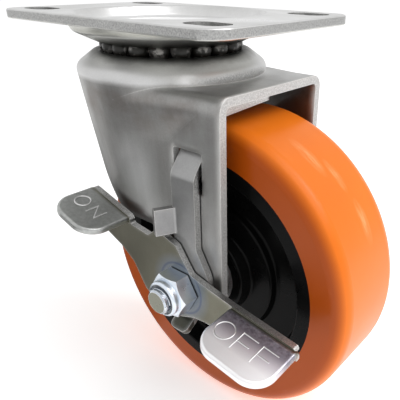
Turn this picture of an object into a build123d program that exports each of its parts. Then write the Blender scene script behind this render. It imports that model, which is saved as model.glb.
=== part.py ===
from build123d import *
import math
import os

# Swivel castor with a side brake. Millimetres, +Z up. The origin is the centre of the mounting
# plate's top face. The fork trails towards +X, the axle lies along Y, and the brake is on the -Y leg.

# ---------------------------------------------------------------- driving dimensions
# Mounting plate
PLATE_LENGTH = 95.0
PLATE_WIDTH = 63.5
PLATE_THICKNESS = 2.8
PLATE_CORNER_RADIUS = 7.0
BOLT_SPACING_X = 73.8
BOLT_SPACING_Y = 44.45
BOLT_SLOT_WIDTH = 8.7
BOLT_SLOT_TRAVEL = 4.8
DISH_RADIUS = 31.6
DISH_WALL_RUN = 1.0
DISH_DEPTH = 8.0
HUB_PLATEAU_DEPTH = 8.6

# Swivel head
MAIN_BALL_DIAMETER = 6.0
MAIN_BALL_COUNT = 20
MAIN_RACE_RADIUS = 19.9
THRUST_BALL_DIAMETER = 5.0
THRUST_BALL_COUNT = 16
THRUST_RACE_RADIUS = 13.5
BALL_PLAY = 0.15
HEAD_GAP = 2.8
KING_PIN_RADIUS = 6.5
KING_PIN_RIVET_RADIUS = 5.0
KING_PIN_HEAD_RADIUS = 10.0
KING_PIN_HEAD_HEIGHT = 3.0
RIVET_HEAD_RADIUS = 8.5
RIVET_HEAD_HEIGHT = 2.4
CUP_THICKNESS = 2.5
CUP_LIP = 2.4

# Fork, pressed from one sheet
SHEET = 2.5
FORK_HALF_WIDTH = 24.0
HEAD_RISE = 6.5
FORK_BEND_RADIUS = 4.0
HEAD_RADIUS = 30.5
HEAD_SHOULDER_DROP = 4.2
SEAM = 0.02
FRONT_RUN = 2.0
LEG_FLAT_BEHIND_STRAP = 2.8
LEG_FLAT_ABOVE_WINDOW = 1.0
HEEL_ABOVE_AXLE = 15.2
HEEL_BEHIND_AXLE = 29.9
LEG_EYE_RADIUS = 13.1
BACK_RIM_DROP = 7.7
BACK_RIM_DEPTH = 7.5
BACK_RIM_SLOPE = 2.0
BACK_CURVE_BEHIND_HEEL = 17.8
BACK_CURVE_ABOVE_HEEL = 21.0
KING_PIN_HOLE_RADIUS = 8.5

# Wheel and axle
TRAIL = 28.9
TYRE_HEADROOM = 6.6
WHEEL_RADIUS = 50.8
WHEEL_HALF_WIDTH = 15.9
TREAD_SHOULDER_RADIUS = 4.9
CORE_RADIUS = 39.6
CORE_RIM_INNER_RADIUS = 34.8
CORE_KEY_HEIGHT = 1.8
CORE_KEY_HALF_WIDTH = 6.0
CORE_RECESS_HALF_WIDTH = 9.5
CORE_DISC_HALF_WIDTH = 12.0
CORE_DISC_RADIUS = 22.8
HUB_RADIUS = 14.5
HUB_HALF_WIDTH = 16.6
AXLE_RADIUS = 4.0
AXLE_HEX_FLATS = 13.0
AXLE_HEAD_HEIGHT = 5.3
AXLE_END_STICKOUT = 1.9
AXLE_CHAMFER = 0.5

# Wheel bearings, 8 x 22 x 7
BEARING_OUTER_RADIUS = 11.0
BEARING_WIDTH = 7.0
BEARING_FACE = 16.0
BEARING_BALL_DIAMETER = 3.97
BEARING_BALL_COUNT = 7
BEARING_PITCH_RADIUS = 7.75
INNER_RING_LAND = 6.0
OUTER_RING_LAND = 9.5
BEARING_PLAY = 0.1
SHIELD_THICKNESS = 0.4
SHIELD_INSET = 0.3
CAGE_HALF_BAND = 0.8
CAGE_BACK = 2.7
CAGE_FRONT = 0.9
SLEEVE_RADIUS = 5.8

# Lock nut
NUT_HEX_HEIGHT = 5.6
NUT_HEIGHT = 8.0
NUT_COLLAR_RADIUS = 5.8
NUT_INSERT_RADIUS = 5.0
NUT_INSERT_DEPTH = 1.9

# Brake; its places are measured from the axle
STRAP_THICKNESS = 2.2
STRAP_WIDTH = 9.3
STRAP_BEHIND_AXLE = 4.1
STRAP_PLAY = 0.3
STRAP_INNER_PLAY = 0.4
STRAP_BEND_RADIUS = 3.0
STRAP_EYE_RADIUS = 10.0
STRAP_EYE_RISE = 3.0
STRAP_NECK_ABOVE_AXLE = 14.2
BRAKE_TRAVEL = 2.0
TONGUE_GAP = BRAKE_TRAVEL + 0.3
TONGUE_WIDTH = 11.0
TONGUE_STEP_HEIGHT = 2.5
TONGUE_TIP_Y = 7.5
TONGUE_SLOPE = 3.2
TONGUE_TIP_RADIUS = 3.0
JOG_BELOW_TREAD_TOP = 7.1
JOG_HEIGHT = 7.0
WINDOW_SIDE_PLAY = 0.95
WINDOW_HEIGHT = 12.5
WINDOW_CORNER_RADIUS = 0.8
TAB_ABOVE_AXLE = 17.7
TAB_HEIGHT = 8.5
TAB_ANGLE = 63.0
TAB_LENGTH = 7.0
FOOT_WIDTH = 7.2
FOOT_BELOW_AXLE = 12.4
FOOT_SLOPE = 35.0
FOOT_LENGTH = 6.2
FOOT_CORNER_RADIUS = 2.0
LEVER_THICKNESS = 2.0
LEVER_PLAY = 0.3
LEVER_BORE_PLAY = 0.08
PAD_DEPTH = 18.5
PAD_BEND_RADIUS = 3.0
PAD_CORNER_RADIUS = 7.0
PAD_FLANGE = 3.6
PAD_LIP_RADIUS = 0.9
ON_PAD_LENGTH = 19.8
ON_PAD_START = (-22.3, 17.7)
ON_PAD_ANGLE = 163.0
ON_PAD_DROOP = 0.0
OFF_PAD_LENGTH = 24.0
OFF_PAD_START = (20.8, 3.1)
OFF_PAD_ANGLE = -8.7
OFF_PAD_DROOP = 7.0

# ---------------------------------------------------------------- places worked out from them
MAIN_BALL_Z = -DISH_DEPTH - HEAD_GAP / 2
MAIN_GROOVE_RADIUS = MAIN_BALL_DIAMETER / 2 + BALL_PLAY
CROWN_TOP = -DISH_DEPTH - HEAD_GAP
CROWN_PLATEAU = CROWN_TOP - 0.6
FORK_TOP = CROWN_TOP - HEAD_RISE
TREAD_TOP = FORK_TOP - SHEET - TYRE_HEADROOM
AXLE_Z = TREAD_TOP - WHEEL_RADIUS
AXLE_AXIS = Plane(origin=(TRAIL, 0, AXLE_Z), x_dir=(1, 0, 0), z_dir=(0, -1, 0))
SIDE_VIEW = Plane(origin=(0, 0, 0), x_dir=(1, 0, 0), z_dir=(0, -1, 0))
THRUST_GROOVE_RADIUS = THRUST_BALL_DIAMETER / 2 + BALL_PLAY
THRUST_BALL_Z = CROWN_PLATEAU - SHEET - THRUST_GROOVE_RADIUS
CUP_TOP = THRUST_BALL_Z - 0.6
CUP_BOTTOM = THRUST_BALL_Z - THRUST_GROOVE_RADIUS - CUP_THICKNESS
LEG_INSIDE = FORK_HALF_WIDTH - SHEET
FORK_FRONT = TRAIL + LEG_EYE_RADIUS
HEEL_X = TRAIL - HEEL_BEHIND_AXLE
HEEL_Z = AXLE_Z + HEEL_ABOVE_AXLE
STRAP_OUT_Y = -(FORK_HALF_WIDTH + STRAP_PLAY + STRAP_THICKNESS / 2)
STRAP_IN_Y = -(LEG_INSIDE - STRAP_INNER_PLAY - STRAP_THICKNESS / 2)
LEVER_BACK = FORK_HALF_WIDTH + STRAP_PLAY + STRAP_THICKNESS + LEVER_PLAY
LEVER_FACE = LEVER_BACK + LEVER_THICKNESS
NUT_BASE = LEVER_FACE + LEVER_PLAY
FORK_BLANK_BOTTOM = AXLE_Z - LEG_EYE_RADIUS - 5
STRAP_LEFT = TRAIL - STRAP_BEHIND_AXLE
STRAP_NECK_Z = AXLE_Z + STRAP_NECK_ABOVE_AXLE
JOG_TOP = TREAD_TOP - JOG_BELOW_TREAD_TOP
JOG_BOTTOM = JOG_TOP - JOG_HEIGHT
WINDOW_TOP = JOG_TOP + 0.5
LEG_FLAT_X = STRAP_LEFT - LEG_FLAT_BEHIND_STRAP
LEG_FLAT_Z = WINDOW_TOP + LEG_FLAT_ABOVE_WINDOW
TAB_BOTTOM = AXLE_Z + TAB_ABOVE_AXLE
FOOT_BEND_Z = AXLE_Z - FOOT_BELOW_AXLE


def arc_depth(radius, offset):
    """Half chord of a circle at a distance from its centre."""
    return math.sqrt(radius**2 - offset**2)


def turned(profile_plane, *edges):
    """A solid of revolution from a closed outline, about the plane's own Y direction."""
    face = make_face(edges)
    return revolve(profile_plane * face, Axis(profile_plane.origin, profile_plane.y_dir))


def ring(y_start, y_end, inner, outer):
    """A plain ring round the axle, between two distances outward along -Y."""
    body = Pos(0, 0, y_start) * extrude(Circle(outer) - Circle(inner), y_end - y_start)
    return AXLE_AXIS * body


def ball_ring(plane, radius, diameter, count):
    """Separate balls, evenly spaced on a circle in the given plane."""
    return [plane * Pos(*spot) * Sphere(diameter / 2) for spot in circle_spots(radius, count)]


def circle_spots(radius, count):
    angles = [2 * math.pi * i / count for i in range(count)]
    return [(radius * math.cos(a), radius * math.sin(a), 0) for a in angles]


# ---------------------------------------------------------------- mounting plate and king pin
def groove_arc(centre_r, centre_z, radius, inner_z, outer_z, bulge):
    """Race groove from its outer lip to its inner lip; bulge is +1 upward or -1 downward."""
    outer_r = centre_r + arc_depth(radius, outer_z - centre_z)
    inner_r = centre_r - arc_depth(radius, inner_z - centre_z)
    middle = (centre_r, centre_z + bulge * radius)
    return ThreePointArc((outer_r, outer_z), middle, (inner_r, inner_z))


def top_plate():
    """Flat slotted plate with the round dish pressed down into it, its underside holding a race."""
    slab = extrude(RectangleRounded(PLATE_LENGTH, PLATE_WIDTH, PLATE_CORNER_RADIUS), -PLATE_THICKNESS)
    slot = SlotOverall(BOLT_SLOT_WIDTH + BOLT_SLOT_TRAVEL, BOLT_SLOT_WIDTH)
    openings = Sketch() + [spot * slot for spot in GridLocations(BOLT_SPACING_X, BOLT_SPACING_Y, 2, 2)]
    openings += Circle(DISH_RADIUS)
    slab -= extrude(openings, 2 * PLATE_THICKNESS, both=True)

    groove = groove_arc(
        MAIN_RACE_RADIUS, MAIN_BALL_Z, MAIN_GROOVE_RADIUS, -HUB_PLATEAU_DEPTH, -DISH_DEPTH, 1
    )
    lip = groove @ 0
    plateau_start = groove @ 1
    wall_foot = lip.X + 1.0
    ridge = -(DISH_DEPTH + HEAD_GAP / 2) + MAIN_GROOVE_RADIUS + PLATE_THICKNESS
    hub_top = -HUB_PLATEAU_DEPTH + PLATE_THICKNESS
    under = FilletPolyline(
        (DISH_RADIUS, -PLATE_THICKNESS), (DISH_RADIUS - DISH_WALL_RUN, -DISH_DEPTH * 0.6),
        (wall_foot, -DISH_DEPTH), (lip.X, -DISH_DEPTH), radius=[3.0, 1.0],
    )
    over = FilletPolyline(
        (KING_PIN_RIVET_RADIUS, hub_top), (MAIN_RACE_RADIUS - 4.5, hub_top),
        (MAIN_RACE_RADIUS - 1.2, ridge), (MAIN_RACE_RADIUS + 1.2, ridge),
        (wall_foot + 0.8, -DISH_DEPTH + PLATE_THICKNESS + 0.6),
        (DISH_RADIUS - DISH_WALL_RUN - 2.6, -DISH_DEPTH * 0.4), (DISH_RADIUS - DISH_WALL_RUN - 1.0, 0),
        (DISH_RADIUS, 0), radius=[1.5, 1.5, 1.5, 1.0, 1.5, 1.2],
    )
    dish = turned(
        Plane.XZ,
        *under.edges(),
        groove,
        Line(plateau_start, (KING_PIN_RIVET_RADIUS, -HUB_PLATEAU_DEPTH)),
        Line((KING_PIN_RIVET_RADIUS, -HUB_PLATEAU_DEPTH), (KING_PIN_RIVET_RADIUS, hub_top)),
        *over.edges(),
        Line((DISH_RADIUS, 0), (DISH_RADIUS, -PLATE_THICKNESS)),
    )
    plate = slab + dish
    rims = [edge for edge in plate.edges() if edge.bounding_box().size.Z < 1e-3]
    outer = [edge for edge in rims if abs(edge.center().X) > 46 or abs(edge.center().Y) > 30]
    return fillet(outer, 0.5)


def king_pin():
    """Riveted pin that clamps the plate and the lower cup together."""
    hub_top = -HUB_PLATEAU_DEPTH + PLATE_THICKNESS
    head_bottom = CUP_BOTTOM - KING_PIN_HEAD_HEIGHT
    rivet_top = hub_top + RIVET_HEAD_HEIGHT
    dome_radius = (RIVET_HEAD_RADIUS**2 + RIVET_HEAD_HEIGHT**2) / (2 * RIVET_HEAD_HEIGHT)
    shoulder_r = RIVET_HEAD_RADIUS / 2
    shoulder_z = rivet_top - dome_radius + arc_depth(dome_radius, shoulder_r)
    chamfer_size = 1.0
    outline = [
        Line((0, head_bottom), (KING_PIN_HEAD_RADIUS - chamfer_size, head_bottom)),
        Line((KING_PIN_HEAD_RADIUS - chamfer_size, head_bottom),
             (KING_PIN_HEAD_RADIUS, head_bottom + chamfer_size)),
        Line((KING_PIN_HEAD_RADIUS, head_bottom + chamfer_size), (KING_PIN_HEAD_RADIUS, CUP_BOTTOM)),
        Line((KING_PIN_HEAD_RADIUS, CUP_BOTTOM), (KING_PIN_RADIUS, CUP_BOTTOM)),
        Line((KING_PIN_RADIUS, CUP_BOTTOM), (KING_PIN_RADIUS, -HUB_PLATEAU_DEPTH)),
        Line((KING_PIN_RADIUS, -HUB_PLATEAU_DEPTH), (KING_PIN_RIVET_RADIUS, -HUB_PLATEAU_DEPTH)),
        Line((KING_PIN_RIVET_RADIUS, -HUB_PLATEAU_DEPTH), (KING_PIN_RIVET_RADIUS, hub_top)),
        Line((KING_PIN_RIVET_RADIUS, hub_top), (RIVET_HEAD_RADIUS, hub_top)),
        ThreePointArc((RIVET_HEAD_RADIUS, hub_top), (shoulder_r, shoulder_z), (0, rivet_top)),
        Line((0, rivet_top), (0, head_bottom)),
    ]
    return turned(Plane.XZ, *outline)


def lower_race_cup():
    """Pressed cup on the king pin that carries the lower balls."""
    lip_r = THRUST_RACE_RADIUS + THRUST_GROOVE_RADIUS + CUP_LIP
    lip_z = THRUST_BALL_Z - 0.2
    groove = groove_arc(THRUST_RACE_RADIUS, THRUST_BALL_Z, THRUST_GROOVE_RADIUS, CUP_TOP, lip_z, -1)
    inner_lip = groove @ 1
    outer_lip = groove @ 0
    corner = 2.5
    return turned(
        Plane.XZ,
        groove,
        Line(inner_lip, (KING_PIN_RADIUS, CUP_TOP)),
        Line((KING_PIN_RADIUS, CUP_TOP), (KING_PIN_RADIUS, CUP_BOTTOM)),
        Line((KING_PIN_RADIUS, CUP_BOTTOM), (lip_r - corner, CUP_BOTTOM)),
        JernArc((lip_r - corner, CUP_BOTTOM), (1, 0), corner, 90),
        Line((lip_r, CUP_BOTTOM + corner), (lip_r, lip_z)),
        Line((lip_r, lip_z), outer_lip),
    )


def main_balls():
    level = Plane.XY.offset(MAIN_BALL_Z)
    return ball_ring(level, MAIN_RACE_RADIUS, MAIN_BALL_DIAMETER, MAIN_BALL_COUNT)


def thrust_balls():
    level = Plane.XY.offset(THRUST_BALL_Z)
    return ball_ring(level, THRUST_RACE_RADIUS, THRUST_BALL_DIAMETER, THRUST_BALL_COUNT)


# ---------------------------------------------------------------- fork
def hood_radius(level):
    """Radius of the hood's round back at a height."""
    fall = (FORK_TOP - level) / (FORK_TOP - HEEL_Z)
    return HEAD_RADIUS - fall * (HEAD_RADIUS - FORK_HALF_WIDTH)


def tangent_point(corner, radius):
    """Where a line from an outside point touches a circle round the swivel."""
    turn = math.atan2(corner[1], corner[0]) + math.acos(radius / math.hypot(*corner))
    return (radius * math.cos(turn), radius * math.sin(turn))


def fork_plan(level, back_radius, flat_from, inset):
    """U-shaped plan: flat legs in front, sides that run out to the round back."""
    radius = back_radius - inset
    half = FORK_HALF_WIDTH - inset
    touch = tangent_point((flat_from, half), radius)
    knee_x = min(flat_from, FORK_FRONT - FRONT_RUN)
    knee_y = half + (touch[1] - half) * (flat_from - knee_x) / (flat_from - touch[0])
    side = [(FORK_FRONT, half), (knee_x, knee_y), touch]
    far_side = [(x, -y) for x, y in reversed(side)]
    back = ThreePointArc(touch, (-radius, 0), far_side[0])
    front = Line(far_side[-1], side[0])
    face = make_face([*Polyline(*side).edges(), back, *Polyline(*far_side).edges(), front])
    return Pos(0, 0, level) * face


def fork_body(inset):
    """Hood that narrows from the head's width to the legs', with its top edge rounded."""
    head_plan = fork_plan(FORK_TOP - inset, HEAD_RADIUS, FORK_FRONT, inset)
    window_plan = fork_plan(LEG_FLAT_Z, hood_radius(LEG_FLAT_Z), LEG_FLAT_X, inset)
    leg_plan = fork_plan(HEEL_Z, FORK_HALF_WIDTH, LEG_FLAT_X, inset)
    hood = loft([head_plan, window_plan, leg_plan], ruled=True)
    crest = hood.faces().sort_by(Axis.Z)[-1].edges().sort_by(Axis.X)[:-1]
    hood = fillet(crest, FORK_BEND_RADIUS - inset)
    return hood + extrude(leg_plan, HEEL_Z - FORK_BLANK_BOTTOM, dir=(0, 0, -1))


def fork_head_outside():
    """Raised round head over the races, running down into the hood's round back."""
    lip_r = MAIN_RACE_RADIUS + arc_depth(MAIN_GROOVE_RADIUS, CROWN_TOP - MAIN_BALL_Z)
    shoulder = CROWN_TOP - HEAD_SHOULDER_DROP
    foot = FORK_TOP - 2 * FORK_BEND_RADIUS
    outline = FilletPolyline(
        (0, CROWN_TOP), (lip_r + 2.2, CROWN_TOP), (hood_radius(shoulder) - SEAM, shoulder),
        (hood_radius(foot) - SEAM, foot), (0, foot), radius=[2.2, 3.0, 0],
    )
    return turned(Plane.XZ, *outline.edges(), Line((0, foot), (0, CROWN_TOP)))


def fork_head_inside():
    """The hollow of the head, one sheet thickness in from its outside."""
    groove_under = MAIN_BALL_Z - MAIN_GROOVE_RADIUS - SHEET
    crown_under = CROWN_PLATEAU - SHEET - 0.6
    foot = FORK_TOP - 2 * FORK_BEND_RADIUS
    inner_r = HEAD_RADIUS - SHEET - 0.4
    outline = FilletPolyline(
        (0, crown_under), (THRUST_RACE_RADIUS + 2.6, crown_under), (MAIN_RACE_RADIUS - 1.5, groove_under),
        (MAIN_RACE_RADIUS + 1.5, groove_under), (inner_r - 2.6, CROWN_TOP - SHEET - 1.0),
        (inner_r, CROWN_TOP - SHEET - 3.6), (hood_radius(foot) - SHEET - SEAM, foot), (0, foot),
        radius=[0.6, 1.0, 1.0, 0.8, 1.0, 0],
    )
    return turned(Plane.XZ, *outline.edges(), Line((0, foot), (0, crown_under)))


def fork_side_outline():
    """Side view of the fork: rim of the head, round-wrapped back, heel, and the eye at the axle."""
    eye_back = TRAIL - LEG_EYE_RADIUS
    back = -HEAD_RADIUS - 5
    top = CROWN_TOP + 5
    rim = FORK_TOP - BACK_RIM_DROP
    outline = FilletPolyline(
        (FORK_FRONT, top), (back, top), (back, rim),
        (-HEAD_RADIUS + BACK_RIM_DEPTH, rim - BACK_RIM_SLOPE),
        (HEEL_X - BACK_CURVE_BEHIND_HEEL, HEEL_Z + BACK_CURVE_ABOVE_HEEL),
        (HEEL_X - 2.0, HEEL_Z + 0.6), (HEEL_X + 4.0, HEEL_Z), (eye_back, HEEL_Z),
        (eye_back, AXLE_Z), radius=[1.0, 1.0, 4.0, 14.0, 3.0, 8.0, 2.5],
    )
    eye = ThreePointArc((eye_back, AXLE_Z), (TRAIL, AXLE_Z - LEG_EYE_RADIUS), (FORK_FRONT, AXLE_Z))
    front = Line((FORK_FRONT, AXLE_Z), (FORK_FRONT, top))
    return make_face([*outline.edges(), eye, front])


def fork():
    """Fork with its raised head, both races, the brake window and the axle holes."""
    outside = fork_body(0) + fork_head_outside()
    inside = fork_body(SHEET) + fork_head_inside()
    shell = outside - inside
    reach = HEAD_RADIUS + 5
    shell &= SIDE_VIEW * Pos(0, 0, -reach) * extrude(fork_side_outline(), 2 * reach)

    upper_race = Pos(0, 0, MAIN_BALL_Z) * Torus(MAIN_RACE_RADIUS, MAIN_GROOVE_RADIUS)
    lower_race = Pos(0, 0, THRUST_BALL_Z) * Torus(THRUST_RACE_RADIUS, THRUST_GROOVE_RADIUS)
    inner_crown = Pos(0, 0, CROWN_TOP) * Cylinder(MAIN_RACE_RADIUS, 2 * (CROWN_TOP - CROWN_PLATEAU))
    pin_hole = Pos(0, 0, CROWN_TOP) * Cylinder(KING_PIN_HOLE_RADIUS, 20)
    shell -= upper_race + lower_race + inner_crown + pin_hole

    shell -= AXLE_AXIS * Cylinder(AXLE_RADIUS, 4 * FORK_HALF_WIDTH)
    window_x = STRAP_LEFT + STRAP_WIDTH / 2
    window_z = WINDOW_TOP - WINDOW_HEIGHT / 2
    window = Box(STRAP_WIDTH + 2 * WINDOW_SIDE_PLAY, 3 * SHEET, WINDOW_HEIGHT)
    window = fillet(window.edges().filter_by(Axis.Y), WINDOW_CORNER_RADIUS)
    return shell - Pos(window_x, -FORK_HALF_WIDTH, window_z) * window


# ---------------------------------------------------------------- wheel
def wheel_tread():
    """Polyurethane tyre moulded round the core, with rounded shoulders."""
    outer = FilletPolyline(
        (CORE_RADIUS, -WHEEL_HALF_WIDTH), (WHEEL_RADIUS, -WHEEL_HALF_WIDTH),
        (WHEEL_RADIUS, WHEEL_HALF_WIDTH), (CORE_RADIUS, WHEEL_HALF_WIDTH),
        radius=TREAD_SHOULDER_RADIUS,
    )
    inner = Line((CORE_RADIUS, WHEEL_HALF_WIDTH), (CORE_RADIUS, -WHEEL_HALF_WIDTH))
    face = make_face([*outer.edges(), inner])
    return wheel_turned(face - core_key())


def core_key():
    """Middle rib of the core that locks the tyre sideways."""
    key = Rectangle(CORE_KEY_HEIGHT, 2 * CORE_KEY_HALF_WIDTH)
    return Pos(CORE_RADIUS + CORE_KEY_HEIGHT / 2, 0) * key


def wheel_turned(face):
    """Revolve a radius-against-width outline about the axle."""
    section = Plane(origin=(TRAIL, 0, AXLE_Z), x_dir=(0, 0, 1), z_dir=(1, 0, 0))
    return revolve(section * face, Axis((TRAIL, 0, AXLE_Z), (0, 1, 0)))


def wheel_core():
    """Moulded core with a flat rim face, a deep recess, a raised disc and the bearing hub."""
    seat = BEARING_FACE - BEARING_WIDTH
    half = FilletPolyline(
        (OUTER_RING_LAND, 0), (OUTER_RING_LAND, seat), (BEARING_OUTER_RADIUS, seat),
        (BEARING_OUTER_RADIUS, HUB_HALF_WIDTH), (HUB_RADIUS, HUB_HALF_WIDTH),
        (HUB_RADIUS + 0.6, CORE_DISC_HALF_WIDTH), (CORE_DISC_RADIUS, CORE_DISC_HALF_WIDTH),
        (CORE_DISC_RADIUS + 0.6, CORE_RECESS_HALF_WIDTH),
        (CORE_RIM_INNER_RADIUS - 1.5, CORE_RECESS_HALF_WIDTH),
        (CORE_RIM_INNER_RADIUS, WHEEL_HALF_WIDTH), (CORE_RADIUS, WHEEL_HALF_WIDTH), (CORE_RADIUS, 0),
        radius=[0, 0, 0, 0.8, 0.8, 0.8, 1.0, 1.5, 0.6, 0],
    )
    face = make_face([*half.edges(), Line((CORE_RADIUS, 0), (OUTER_RING_LAND, 0))])
    return wheel_turned(face + mirror(face, Plane.XZ) + core_key())


# ---------------------------------------------------------------- wheel bearings and axle
def bearing_middle(side):
    """Distance of a bearing's middle plane along -Y; side is +1 at the brake, -1 away from it."""
    return side * (BEARING_FACE - BEARING_WIDTH / 2)


def bearing_groove(side):
    groove = Torus(BEARING_PITCH_RADIUS, BEARING_BALL_DIAMETER / 2 + BEARING_PLAY)
    return AXLE_AXIS * Pos(0, 0, bearing_middle(side)) * groove


def bearing_ring(side, inner, outer):
    middle = bearing_middle(side)
    body = ring(middle - BEARING_WIDTH / 2, middle + BEARING_WIDTH / 2, inner, outer)
    return body - bearing_groove(side)


def bearing_balls(side):
    level = AXLE_AXIS * Location((0, 0, bearing_middle(side)))
    return ball_ring(Plane(level), BEARING_PITCH_RADIUS, BEARING_BALL_DIAMETER, BEARING_BALL_COUNT)


def bearing_cage(side):
    """Snap-in crown cage: a ring with a pocket open to one side for each ball."""
    middle = bearing_middle(side)
    inner = BEARING_PITCH_RADIUS - CAGE_HALF_BAND
    outer = BEARING_PITCH_RADIUS + CAGE_HALF_BAND
    band = ring(middle - CAGE_BACK, middle + CAGE_FRONT, inner, outer)
    pocket = Sphere(BEARING_BALL_DIAMETER / 2 + BEARING_PLAY)
    for spot in circle_spots(BEARING_PITCH_RADIUS, BEARING_BALL_COUNT):
        band -= AXLE_AXIS * Pos(0, 0, middle) * Pos(*spot) * pocket
    return band


def bearing_shields(side):
    """Thin dust shields in both faces of a bearing."""
    middle = bearing_middle(side)
    reach = BEARING_WIDTH / 2 - SHIELD_INSET
    inner = INNER_RING_LAND + 0.3
    near = ring(middle + reach - SHIELD_THICKNESS, middle + reach, inner, OUTER_RING_LAND)
    far = ring(middle - reach, middle - reach + SHIELD_THICKNESS, inner, OUTER_RING_LAND)
    return [near, far]


def axle_bolt():
    """Hex-headed axle bolt from the far leg to just past the lock nut."""
    end = NUT_BASE + NUT_HEIGHT + AXLE_END_STICKOUT
    length = end + FORK_HALF_WIDTH
    shank = Pos(0, 0, -FORK_HALF_WIDTH) * extrude(Circle(AXLE_RADIUS), length)
    shank = chamfer(shank.edges().sort_by(Axis.Z)[-1], AXLE_CHAMFER)
    hexagon = RegularPolygon(AXLE_HEX_FLATS / 2, 6, major_radius=False)
    head = Pos(0, 0, -FORK_HALF_WIDTH - AXLE_HEAD_HEIGHT) * extrude(hexagon, AXLE_HEAD_HEIGHT)
    return AXLE_AXIS * (shank + head & crowned_blank(-FORK_HALF_WIDTH - AXLE_HEAD_HEIGHT, end, True))


def crowned_blank(start, end, crown_at_start):
    """Round blank that takes the corners off one end of a hexagon."""
    corner = AXLE_HEX_FLATS / math.sqrt(3)
    blank = Pos(0, 0, start) * extrude(Circle(corner), end - start)
    rims = blank.edges().filter_by(GeomType.CIRCLE).sort_by(Axis.Z)
    rim = rims[0] if crown_at_start else rims[-1]
    return chamfer(rim, 0.8, 1.2)


def axle_nut():
    """Steel body of the lock nut: hexagon with a round collar over the insert."""
    hexagon = RegularPolygon(AXLE_HEX_FLATS / 2, 6, major_radius=False)
    body = Pos(0, 0, NUT_BASE) * extrude(hexagon, NUT_HEX_HEIGHT)
    body &= crowned_blank(NUT_BASE, NUT_BASE + NUT_HEX_HEIGHT, False)
    collar = Pos(0, 0, NUT_BASE) * extrude(Circle(NUT_COLLAR_RADIUS), NUT_HEIGHT)
    collar = fillet(collar.edges().filter_by(GeomType.CIRCLE).sort_by(Axis.Z)[-1], 1.0)
    body += collar
    bore = Pos(0, 0, NUT_BASE) * extrude(Circle(AXLE_RADIUS), NUT_HEIGHT)
    insert_z = NUT_BASE + NUT_HEIGHT - NUT_INSERT_DEPTH - 0.5
    pocket = Pos(0, 0, insert_z) * extrude(Circle(NUT_INSERT_RADIUS), NUT_INSERT_DEPTH + 0.5)
    return AXLE_AXIS * (body - bore - pocket)


def nut_insert():
    start = NUT_BASE + NUT_HEIGHT - NUT_INSERT_DEPTH - 0.5
    return ring(start, start + NUT_INSERT_DEPTH, AXLE_RADIUS, NUT_INSERT_RADIUS)


# ---------------------------------------------------------------- brake
def strap_section():
    """Edge-on view of the strap: tongue over the tyre, jog through the window, foot below."""
    half = STRAP_THICKNESS / 2
    slope = math.tan(math.radians(TONGUE_SLOPE))
    lowest_y = -(WHEEL_HALF_WIDTH - TREAD_SHOULDER_RADIUS)
    lowest_z = TREAD_TOP + TONGUE_GAP + half
    bend_z = lowest_z + slope * (STRAP_IN_Y - lowest_y)
    tip_z = lowest_z + slope * (TONGUE_TIP_Y - lowest_y)
    foot = math.radians(FOOT_SLOPE)
    foot_end = (STRAP_OUT_Y - FOOT_LENGTH * math.cos(foot), FOOT_BEND_Z - FOOT_LENGTH * math.sin(foot))
    path = FilletPolyline(
        (TONGUE_TIP_Y, tip_z), (STRAP_IN_Y, bend_z), (STRAP_IN_Y, JOG_TOP), (STRAP_OUT_Y, JOG_BOTTOM),
        (STRAP_OUT_Y, FOOT_BEND_Z), foot_end,
        radius=[STRAP_BEND_RADIUS, STRAP_BEND_RADIUS, STRAP_BEND_RADIUS, 2.3],
    )
    return trace(path, STRAP_THICKNESS)


def strap_outline():
    """Side view of the strap: broad tongue, straight stem, eye round the axle, narrow foot."""
    tongue_foot = JOG_TOP + TONGUE_STEP_HEIGHT
    tongue = Pos(STRAP_LEFT + TONGUE_WIDTH / 2, (tongue_foot + FORK_TOP) / 2) * Rectangle(
        TONGUE_WIDTH, FORK_TOP - tongue_foot
    )
    stem = Pos(STRAP_LEFT + STRAP_WIDTH / 2, (FORK_TOP + STRAP_NECK_Z) / 2) * Rectangle(
        STRAP_WIDTH, FORK_TOP - STRAP_NECK_Z
    )
    eye = Pos(TRAIL, AXLE_Z + STRAP_EYE_RISE) * Circle(STRAP_EYE_RADIUS)
    neck = Line((STRAP_LEFT, STRAP_NECK_Z), (STRAP_LEFT + STRAP_WIDTH, STRAP_NECK_Z))
    waist = make_hull([*eye.edges(), neck])
    foot_end = FOOT_BEND_Z - FOOT_LENGTH
    foot = Pos(STRAP_LEFT + FOOT_WIDTH / 2, (AXLE_Z + foot_end) / 2) * Rectangle(
        FOOT_WIDTH, AXLE_Z - foot_end
    )
    return tongue + stem + waist + foot


def brake_strap():
    """Strap that the lever's cams push down until the tongue meets the tyre."""
    reach = 2 * STRAP_EYE_RADIUS + 2
    blank = Pos(TRAIL - reach / 2, 0, 0) * extrude(Plane.YZ * strap_section(), reach)
    side = Pos(0, 0, -FORK_HALF_WIDTH) * extrude(strap_outline(), 4 * FORK_HALF_WIDTH)
    body = blank & (SIDE_VIEW * side)

    slot_height = 2 * (AXLE_RADIUS + STRAP_PLAY) + BRAKE_TRAVEL
    slot = SlotOverall(slot_height, 2 * (AXLE_RADIUS + STRAP_PLAY), rotation=90)
    slot_solid = Pos(TRAIL, AXLE_Z + BRAKE_TRAVEL / 2, 0) * extrude(slot, FORK_HALF_WIDTH * 2)
    body -= SIDE_VIEW * slot_solid

    tip = body.faces().sort_by(Axis.Y)[-1]
    body = fillet(end_corners(tip), TONGUE_TIP_RADIUS)
    foot_end = body.faces().sort_by(Axis.Y)[0]
    body = fillet(end_corners(foot_end), FOOT_CORNER_RADIUS)
    return body + strap_tab()


def end_corners(face):
    """The two short edges of a strip's end face, which lie at its sides in X."""
    sides = face.edges().sort_by(Axis.X)
    return [sides[0], sides[-1]]


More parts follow.
